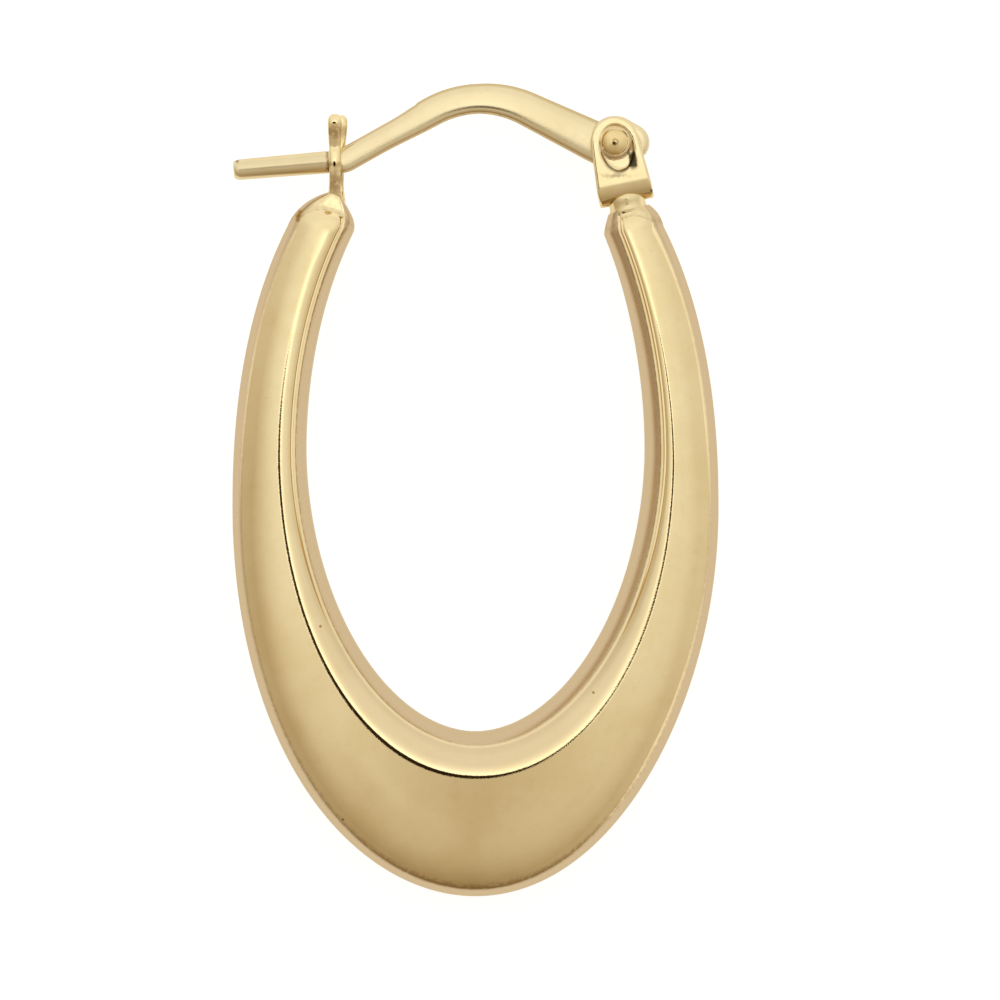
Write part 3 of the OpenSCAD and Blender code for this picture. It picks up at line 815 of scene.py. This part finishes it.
def cornerArc(before, corner, after, radius, steps):
    # points round a corner between two straight runs
    u, v = unit(corner - before), unit(after - corner)
    turn = math.degrees(math.acos(float(u @ v)))
    side = math.copysign(1, u[0] * v[1] - u[1] * v[0])
    centre = corner - u * radius * math.tan(math.radians(turn) / 2) + turned(u, side * 90) * radius
    angle = np.radians(np.linspace(0, side * turn, steps))
    spoke = -turned(u, side * 90) * radius
    return centre + np.stack([spoke[0] * np.cos(angle) - spoke[1] * np.sin(angle),
                              spoke[0] * np.sin(angle) + spoke[1] * np.cos(angle)], 1)


def straightRun(a, b, steps):
    # evenly spaced points from a to b
    return a + (b - a) * np.linspace(0, 1, steps)[:, None]


postAxis = turned(np.array([1.0, 0]), wireShape["postSlope"])
postTip = wireInCatch - postAxis * wireShape["postL"]
bendCorner = wireInCatch + postAxis * wireShape["bendGap"]
archCorner = pivot + np.array([-wireShape["archBack"], wireShape["archRise"]])
wireFoot = pivot - np.array([0, wireShape["drop"]])
runDown = unit(wireFoot - archCorner)
wireEnd = wireFoot - runDown * wireShape["endGap"] / runDown[0]


def wirePath():
    # nose, post, bend, climb, arch and run down, one after the other, with points that crowd at the tip
    noseSteps, postSteps, bendSteps, climbSteps, archSteps, downSteps = wireShape["rings"]
    bend = cornerArc(postTip, bendCorner, archCorner, wireShape["bendR"], bendSteps)
    arch = cornerArc(bendCorner, archCorner, wireFoot, wireShape["archR"], archSteps)
    reach = wireShape["nose"] * np.sin(np.linspace(0, math.pi / 2, noseSteps)) ** 2
    nose = postTip + postAxis * reach[:, None]
    post = straightRun(nose[-1], bend[0], postSteps)
    climb = straightRun(bend[-1], arch[0], climbSteps)
    down = straightRun(arch[-1], wireEnd, downSteps)
    return np.concatenate([nose, post[1:], bend[1:], climb[1:], arch[1:], down[1:]])


def wireRings():
    # rings square to the path, round on the post and a fuller, flatter oval from the bend on
    w, m = wireShape, wireMarks
    path = wirePath()
    heading = unit(np.gradient(path, axis=0))
    across = np.stack([-heading[:, 1], heading[:, 0]], 1)
    x = path[:, 0]
    along = (path - postTip) @ postAxis
    fromCatch = x - wireInCatch[0]
    flat = smoothShare(*w["flatRun"], fromCatch)
    postR = mix(w["tipR"], w["postR"], share01(along / w["postL"]))
    noseShare = share01(along / w["nose"])
    postR = postR * mix(w["blunt"], 1, np.sqrt(np.maximum(0, 1 - (1 - noseShare) ** 2)))
    notch = bump01(fromCatch, w["grooveAt"], w["grooveHalfW"])
    postR = postR - w["grooveDepth"] * notch
    widen = sum(smoothShare(low, high, x) * share for low, high, share in w["upperRuns"])
    toHinge = share01((x - archCorner[0]) / (pivot[0] - archCorner[0]) / w["hingeRun"])
    wider = (w["hingeHalfW"] - w["archHalfW"]) * toHinge
    upper = mix(w["climbHalfW"], w["archHalfW"], widen) + wider
    lower = mix(w["climbHalfW"], w["archHalfW"], smoothShare(*w["lowerRun"], x)) + wider
    f = np.linspace(0, 2 * math.pi, w["cols"], endpoint=False)[None, :]
    n = mix(2, w["flatness"], flat)[:, None]
    side = signedPower(np.cos(f), n)
    halfW = np.where(side > 0, mix(postR, upper, flat)[:, None], mix(postR, lower, flat)[:, None])
    v = side * halfW
    z = mix(postR, w["halfT"], flat)[:, None] * signedPower(np.sin(f), n)
    z = z + (w["twist"] * flat)[:, None] * v * np.abs(signedPower(np.sin(f), w["twistFullness"]))
    place = path[:, None, :] + across[:, None, :] * v[:, :, None]
    rings = np.concatenate([place, z[:, :, None]], 2)
    edge = smoothShare(*m["edgeRun"], np.abs(side)) * flat[:, None]
    inside = bump01(x, archCorner[0], m["insideHalfW"])[:, None]
    nick = bump01(along, m["nickAt"], m["nickHalfW"])[:, None] * bump01(f, m["nickTurn"], m["nickHalfTurn"])
    matt = m["mattTone"] * smoothShare(*m["mattRun"], side) * flat[:, None] * (1 - inside)
    # painted shade on the edges and inside the arch, a painted shadow in the groove by the catch, and a dark nick
    low = m["insideTone"] * edge * (side < 0) * inside + m["grooveTone"] * notch[:, None] + nick
    return rings, marksOf(rings, roll=edge, ridge=(1 - flat)[:, None] + matt, low=np.minimum(1, low))


def eyeReach(angle):
    # distance from the rivet to the outline round two discs, joined by their tangents
    w = wireShape
    tangent = math.acos((w["eyeR"] - w["heelR"]) / w["heelBack"])
    touch = math.atan2(w["heelR"] * math.sin(tangent), w["heelBack"] + w["heelR"] * math.cos(tangent))
    size = np.abs(angle)
    inner = np.maximum(w["heelR"] ** 2 - (w["heelBack"] * np.sin(angle)) ** 2, 0)
    heel = w["heelBack"] * np.cos(angle) + np.sqrt(inner)
    widest = 1.2  # turn past which the tangent isn't used, and its formula has no end
    line = w["eyeR"] / np.cos(np.minimum(np.abs(size - tangent), widest))
    return np.where(size > tangent, w["eyeR"], np.where(size > touch, line, heel))


def eyeRings():
    # a ring of sections round the hole: a rectangle with round corners, out to the eye's outline,
    # with fine file marks on the heel's end
    w, m = wireShape, wireMarks
    angle = np.linspace(-math.pi, math.pi, w["eyeRings"])[:-1]
    heelShare = smoothShare(*w["heelRun"], np.abs(angle))
    teeth = w["toothH"] * np.sin(angle * w["teeth"]) * heelShare
    reach = eyeReach(angle) + teeth - w["toothH"]
    f = np.linspace(0, 2 * math.pi, w["eyeCols"], endpoint=False)[None, :]
    middle, half = (reach + w["holeR"]) / 2, (reach - w["holeR"]) / 2
    thin, more = w["rimFullness"]
    fullness = (thin + more * half)[:, None]
    radius = middle[:, None] + half[:, None] * signedPower(np.cos(f), fullness)
    z = w["eyeHalfT"] * signedPower(np.sin(f), w["eyeFullness"]) * np.ones_like(radius)
    x = pivot[0] + radius * np.cos(angle)[:, None]
    y = pivot[1] + radius * np.sin(angle)[:, None]
    rings = np.stack([x, y, z], 2)
    # painted shade on the eye's outer rim, where grime spots and file marks also darken it
    rim = smoothShare(*m["rimRun"], np.cos(f)) * np.ones_like(radius)
    grime = sum(strength * bump01(angle, at, spread) for strength, at, spread in m["grimeSpots"]) \
        + m["toothTone"] * (teeth < m["toothLow"]) + m["heelTone"] * heelShare
    marks = marksOf(rings, roll=m["rimTone"] * rim, low=rim * grime[:, None])
    # the first ring is repeated at the end, to close the grid along its rows
    return np.concatenate([rings, rings[:1]]), {k: np.concatenate([v, v[:1]]) for k, v in marks.items()}


sweptWire, onWire = wireRings()
ringedEye, onEye = eyeRings()
earWire = surfaceMesh("earWire", [sweptWire, ringedEye], [onWire, onEye])
print("ear wire:", len(earWire.data.polygons), "faces")


# Shader maths: one class for a socket, one for a node tree

class Wire:
    # a socket of a node tree; maths on it adds a Math node
    def __init__(self, tree, socket):
        self.tree, self.socket = tree, socket

    def maths(self, operation, *values):
        sockets = dict(enumerate((self,) + values))
        return self.tree.add("ShaderNodeMath", dict(operation=operation), sockets)

    def __add__(self, other):
        return self.maths("ADD", other)

    def __radd__(self, other):
        return self.maths("ADD", other)

    def __sub__(self, other):
        return self.maths("SUBTRACT", other)

    def __rsub__(self, other):
        return self.tree.add("ShaderNodeMath", dict(operation="SUBTRACT"), {0: other, 1: self})

    def __mul__(self, other):
        return self.maths("MULTIPLY", other)

    def __rmul__(self, other):
        return self.maths("MULTIPLY", other)

    def __truediv__(self, other):
        return self.maths("DIVIDE", other)


class Tree:
    # a node tree; add() makes a node from its type, its settings, and the values or links of its sockets
    def __init__(self, nodeTree):
        self.nodeTree = nodeTree
        nodeTree.nodes.clear()

    def add(self, kind, settings=None, sockets=None, out=0):
        # gives the output with number out, or the node itself if it has none
        node = self.nodeTree.nodes.new(kind)
        for key, value in (settings or {}).items():
            if key == "stops":
                ramp = node.color_ramp
                while len(ramp.elements) < len(value):
                    ramp.elements.new(0.5)
                for element, (place, level) in zip(ramp.elements, value):
                    element.position = place
                    element.color = (level, level, level, 1) if isinstance(level, float) else (*level, 1)
            else:
                setattr(node, key, value)
        for key, value in (sockets or {}).items():
            if isinstance(value, Wire):
                self.nodeTree.links.new(value.socket, node.inputs[key])
            else:
                node.inputs[key].default_value = value
        return Wire(self, node.outputs[out]) if len(node.outputs) else node

    def between(self, value, low, high):
        # 0 below low and 1 above high, smoothly
        return self.add("ShaderNodeMapRange", dict(interpolation_type="SMOOTHSTEP"), {0: value, 1: low, 2: high})

    def tint(self, share, a, b):
        # colour a at share 0, b at share 1
        return self.add("ShaderNodeMix", dict(data_type="RGBA"), {0: share, 6: a, 7: b}, out=2)

    def noise(self, place, scale, detail, rough=0.55):
        return self.add("ShaderNodeTexNoise", dict(noise_dimensions="3D"),
                        {"Vector": place, "Scale": scale, "Detail": detail, "Roughness": rough})

    def mask(self, place, scale, detail, low, high):
        # noise that is cut off below low and above high
        return self.between(self.noise(place, scale, detail), low, high)

    def mark(self, name):
        # a mark that surfaceMesh has stored on the mesh
        return self.add("ShaderNodeAttribute", dict(attribute_name=name, attribute_type="GEOMETRY"), out=2)


def colour(r, g, b):
    # with full alpha
    return (r, g, b, 1.0)


# each look: light and deep tones at random, a side tone that is painted shade on rolls and steep edges and is
# also laid on the rivet's seat, and a dark tone for specks, dirt, tarnish and painted shade in creases
goldLooks = dict(
    hoopGold=dict(light=colour(0.90, 0.735, 0.41), deep=colour(0.83, 0.66, 0.335), side=colour(0.61, 0.465, 0.28),
                  grimeAndShade=colour(0.38, 0.23, 0.07), rough=0.045, roughSide=0.24, roughRidge=0.0, wave=0.0022,
                  scratch=0.0001, ridgeGrain=0.0015, grain=0.0),
    wireGold=dict(light=colour(0.81, 0.675, 0.40), deep=colour(0.76, 0.62, 0.345), side=colour(0.60, 0.44, 0.22),
                  grimeAndShade=colour(0.20, 0.12, 0.05), rough=0.16, roughSide=0.24, roughRidge=0.12, wave=0.0012,
                  scratch=0.0001, ridgeGrain=0.0, grain=0.0004),
    bracketGold=dict(light=colour(0.85, 0.70, 0.40), deep=colour(0.78, 0.61, 0.31), side=colour(0.66, 0.48, 0.24),
                     grimeAndShade=colour(0.06, 0.045, 0.02), rough=0.11, roughSide=0.2, roughRidge=0.16, wave=0.003,
                     scratch=0.0002, ridgeGrain=0.0, grain=0.0),
    rivetGold=dict(light=colour(0.86, 0.68, 0.34), deep=colour(0.78, 0.58, 0.26), side=colour(0.66, 0.48, 0.24),
                   grimeAndShade=colour(0.30, 0.18, 0.07), rough=0.11, roughSide=0.2, roughRidge=0.0, wave=0.002,
                   scratch=0.0002, ridgeGrain=0.0, grain=0.0),
)
edgeTint = colour(0.86, 0.79, 0.64)  # gold seen edge on stays gold

# Patterns of the gold. A mask has its scale for each mm, its detail, and the levels where it starts and ends
goldPattern = dict(
    patches=(0.55, 4.0, 0.38, 0.66),
    blotches=(2.6, 5.0, 0.5, 0.72),
    specks=(9.0, 2.0, 0.70, 0.76),
    hairlines=(1.0, 2.0, 0.62, 0.70),
    patchTint=0.55,
    blotchTint=0.3,
    speckTint=0.2,
    dirtAndShadeNoise=(6.0, 3.0),
    dirtAndShadeClosing=0.35,  # dirt and painted shade close up where their mark is strong
    dirtAndShadeRun=(0.45, 0.72),
    spotSpread=1.9,
    fineNoise=(22.0, 2.0),
    waveNoise=(0.9, 2.0, 0.4),
    grainNoise=(1.0, 4.0, 0.7),
    grainStretch=(0.6, 60.0, 1.0),  # along the piece and round it
    hairTurn=(0.3, 0.2, 0.9),
    hairStretch=(0.35, 14.0, 3.0),
    blotchRough=0.02,
    hairRough=0.03,
)

# Small dark spots on the front: place in the part's frame and radius, mm
tarnishSpots = [(-5.52, -4.86, 0.05), (-4.73, -11.76, 0.05), (4.20, -7.22, 0.05), (-6.26, 9.92, 0.07),
                (-6.32, 9.77, 0.09), (-6.34, 9.63, 0.07)]


def goldMaterial(name):
    # polished gold: warm and pale patches, painted shade on the rolls and steep edges, dirt, tarnish and painted
    # shade in creases, hairline scratches, drawn grain and a faint waviness
    look, p = goldLooks[name], goldPattern
    material = bpy.data.materials.new(name)
    material.use_nodes = True
    tree = Tree(material.node_tree)
    place = tree.add("ShaderNodeVectorMath", dict(operation="SCALE"),
                     {0: tree.add("ShaderNodeTexCoord", out=3), "Scale": 1 / metresPerMm})
    roll, ridge, low, rail = (tree.mark(mark) for mark in markNames)
    patches = tree.mask(place, *p["patches"])
    blotches = tree.mask(place, *p["blotches"])
    specks = tree.mask(place, *p["specks"])
    fine = tree.noise(place, *p["fineNoise"])
    tone = tree.tint(patches * p["patchTint"] + blotches * p["blotchTint"], look["light"], look["deep"])
    # painted shade: the rolls, rail and steep edges take the darker side tone
    tone = tree.tint(roll.maths("MAXIMUM", rail), tone, look["side"])
    tone = tree.tint(specks * p["speckTint"], tone, look["grimeAndShade"])
    # dark tone where the low mark is strong: real dirt and tarnish, and painted shade in creases, grooves and
    # shaded bands
    darkening = low * tree.between(tree.noise(place, *p["dirtAndShadeNoise"]) + low * p["dirtAndShadeClosing"], *p["dirtAndShadeRun"])
    if name == "hoopGold":
        xyz = tree.add("ShaderNodeSeparateXYZ", None, {0: place}).socket.node.outputs
        for spotX, spotY, spotR in tarnishSpots:
            dx, dy = Wire(tree, xyz[0]) - spotX, Wire(tree, xyz[1]) - spotY
            fromSpot = (dx * dx + dy * dy).maths("SQRT") + fine * spotR
            darkening = darkening + tree.between(fromSpot, spotR * p["spotSpread"], spotR)
    tone = tree.tint(darkening.maths("MINIMUM", 1.0), tone, look["grimeAndShade"])

    turnedPlace = tree.add("ShaderNodeMapping", dict(vector_type="POINT"),
                           {"Vector": place, "Rotation": p["hairTurn"], "Scale": p["hairStretch"]})
    hairlines = tree.mask(turnedPlace, *p["hairlines"])
    waves = tree.noise(place, *p["waveNoise"])
    rough = look["rough"] + (look["roughSide"] - look["rough"]) * roll
    rough = rough + p["blotchRough"] * blotches + p["hairRough"] * hairlines
    if look["roughRidge"]:
        rough = rough + look["roughRidge"] * ridge
    height = waves * look["wave"] - hairlines * look["scratch"]
    if look["grain"]:
        streaked = tree.add("ShaderNodeMapping", dict(vector_type="POINT"),
                            {"Vector": tree.add("ShaderNodeUVMap", dict(uv_map="lengthAndRound")),
                             "Scale": p["grainStretch"]})
        height = height + tree.noise(streaked, *p["grainNoise"]) * look["grain"]
    if look["ridgeGrain"]:
        height = height + fine * ridge * look["ridgeGrain"]
    normal = tree.add("ShaderNodeBump", None, {"Height": height, "Distance": metresPerMm, "Strength": 1.0})
    shader = tree.add("ShaderNodeBsdfPrincipled", None,
                      {"Base Color": tone, "Metallic": 1.0, "Roughness": rough, "Normal": normal,
                       "Specular Tint": edgeTint})
    tree.add("ShaderNodeOutputMaterial", None, {"Surface": shader})
    return material


def dress(piece, body, slot, material, *nodes):
    # material, the body that the piece is attached to, and the imported nodes that it stands in for, which are
    # hidden; slot is not used
    piece.data.materials.append(material)
    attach(piece, body)
    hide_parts(*nodes)


hoopGold = goldMaterial("hoopGold")
dress(hoopShell, "hoop", "hoop_gold", hoopGold, "hoop")
dress(catchFork, "hoop", "hoop_gold", hoopGold, "hoop")
dress(hingeBracket, "hoop", "hoop_gold", goldMaterial("bracketGold"), "hoop")
dress(earWire, "ear_wire", "wire_gold", goldMaterial("wireGold"), "ear_wire")
dress(hingeRivet, "hoop", "rivet_gold", goldMaterial("rivetGold"), "hinge_rivet")
print("materials done")


# Floor, light and camera

studio = dict(
    floorSize=1.2,
    floorColour=colour(0.30, 0.30, 0.30),
    floorRough=0.9,
    floorGlow=0.84,
    backdropLevel=0.9,
    lensTilt=(-3.2, -2.4),  # the dark camera above the earring, in degrees from the zenith to the right and up
    lensHalfAngle=7.5,
    lensSoft=0.5,
    lensLevel=0.03,
)

# Brightness of the soft tent at degrees from the zenith, one row for each side from the right round by the top
tentDegrees = [0, 7, 9, 11, 13, 16, 22, 28, 36, 46, 58, 70, 84]
tentSides = [
    [1.35, 1.35, 1.20, 1.08, 1.05, 0.98, 0.93, 0.93, 0.90, 0.90, 0.85, 0.80, 0.80],
    [1.60, 1.60, 1.45, 1.25, 1.15, 1.12, 1.08, 1.06, 1.05, 1.05, 1.04, 1.00, 0.92],
    [1.60, 1.60, 1.50, 1.38, 1.28, 1.22, 1.12, 1.05, 1.05, 1.05, 1.05, 1.00, 1.00],
    [1.60, 1.60, 1.45, 1.25, 1.20, 1.18, 1.10, 1.06, 1.06, 1.06, 1.04, 0.98, 0.90],
    [1.00, 1.00, 1.10, 1.40, 1.30, 0.97, 0.95, 0.92, 0.87, 0.80, 0.68, 0.57, 0.60],
    [0.66, 0.66, 0.66, 0.67, 0.68, 0.75, 0.69, 0.67, 0.65, 0.60, 0.53, 0.47, 0.48],
    [0.62, 0.62, 0.62, 0.62, 0.63, 0.63, 0.63, 0.61, 0.58, 0.53, 0.46, 0.39, 0.40],
    [0.70, 0.70, 0.70, 0.71, 0.72, 0.74, 0.73, 0.71, 0.70, 0.66, 0.62, 0.56, 0.58],
]
tentScale = 1.6
# Dim parts of the tent are warmer: brightness and colour
tentWarmth = [(0.0, (1.0, 0.60, 0.32)), (0.35, (1.0, 0.75, 0.48)), (0.50, (1.0, 0.845, 0.66)),
              (0.60, (1.0, 0.88, 0.75)), (0.92, (1.0, 1.0, 1.0))]
sides = len(tentSides)
horizon = 90  # degrees from the zenith
inDegrees = 180 / math.pi
roundsAdded = 3.5  # three rounds keep the remainder of a modulo above 0, and the half is taken off again

world = bpy.data.worlds.new("softTent")
world.use_nodes = True
bpy.context.scene.world = world
sky = Tree(world.node_tree)
direction = sky.add("ShaderNodeSeparateXYZ", None, {0: sky.add("ShaderNodeTexCoord", out=0)})
dirX, dirY, dirZ = (Wire(sky, direction.socket.node.outputs[k]) for k in range(3))
fromTop = dirZ.maths("ARCCOSINE") * inDegrees
side = dirY.maths("ARCTAN2", dirX) * (sides / (2 * math.pi))
tent = 0
for number, levels in enumerate(tentSides):
    # each side's share falls to none at its two neighbours
    stops = [(degrees / horizon, level / tentScale) for degrees, level in zip(tentDegrees, levels)]
    gap = (side - number + roundsAdded * sides).maths("MODULO", sides) - sides / 2
    near = (1 - gap.maths("ABSOLUTE")).maths("MAXIMUM", 0.0)
    tent = tent + sky.add("ShaderNodeValToRGB", dict(stops=stops), {0: fromTop / horizon}) * near * tentScale
lensX, lensY = (d * inDegrees - tilt for d, tilt in zip((dirX, dirY), studio["lensTilt"]))
fromLens = (lensX * lensX + lensY * lensY).maths("SQRT")
lensEdge = [studio["lensHalfAngle"] + sign * studio["lensSoft"] for sign in (-1, 1)]
pastLens = sky.between(fromLens, *lensEdge)
tent = tent * (studio["lensLevel"] + pastLens * (1 - studio["lensLevel"]))
warmth = sky.add("ShaderNodeValToRGB", dict(stops=tentWarmth), {0: tent})
# the tent only lights the earring: what is seen past the floor is a plain pale backdrop
seen = sky.add("ShaderNodeLightPath")
backdrop = sky.tint(seen, warmth, colour(1, 1, 1))
background = sky.add("ShaderNodeBackground", None,
                     {"Color": backdrop, "Strength": tent + seen * (studio["backdropLevel"] - tent)})
sky.add("ShaderNodeOutputWorld", None, {"Surface": background})

floorMesh = bpy.data.meshes.new("floor")
reach = studio["floorSize"] / 2
floorMesh.from_pydata([(-reach, -reach, 0), (reach, -reach, 0), (reach, reach, 0), (-reach, reach, 0)], [],
                      [(0, 1, 2, 3)])
floor = bpy.data.objects.new("floor", floorMesh)
bpy.context.scene.collection.objects.link(floor)
floorPaint = bpy.data.materials.new("floorPaint")
floorPaint.use_nodes = True
paint = Tree(floorPaint.node_tree)
paintShader = paint.add("ShaderNodeBsdfPrincipled", None,
                        {"Base Color": studio["floorColour"], "Roughness": studio["floorRough"],
                         "Specular IOR Level": 0.0,
                         "Emission Color": colour(1, 1, 1), "Emission Strength": studio["floorGlow"]})
paint.add("ShaderNodeOutputMaterial", None, {"Surface": paintShader})
floorMesh.materials.append(floorPaint)

cameraSetup = dict(
    centreX=0.875,  # picture centre in the part's frame, mm
    centreY=-0.363,
    pictureW=35.714,  # width seen at the height of the seam, mm
    distance=500.0,
    sensorW=36.0,
    clipStart=0.01,  # metres
    clipEnd=10.0,
)
cameraData = bpy.data.cameras.new("camera")
cameraData.sensor_width = cameraSetup["sensorW"]
cameraData.lens = cameraSetup["sensorW"] * cameraSetup["distance"] / cameraSetup["pictureW"]
cameraData.clip_start = cameraSetup["clipStart"]
cameraData.clip_end = cameraSetup["clipEnd"]
camera = bpy.data.objects.new("camera", cameraData)
camera.location = [v * metresPerMm for v in (cameraSetup["centreX"], cameraSetup["centreY"],
                                             midHeight + cameraSetup["distance"])]
bpy.context.scene.collection.objects.link(camera)
bpy.context.scene.camera = camera
bpy.context.scene.view_settings.view_transform = "Standard"
print("floor, light and camera done")
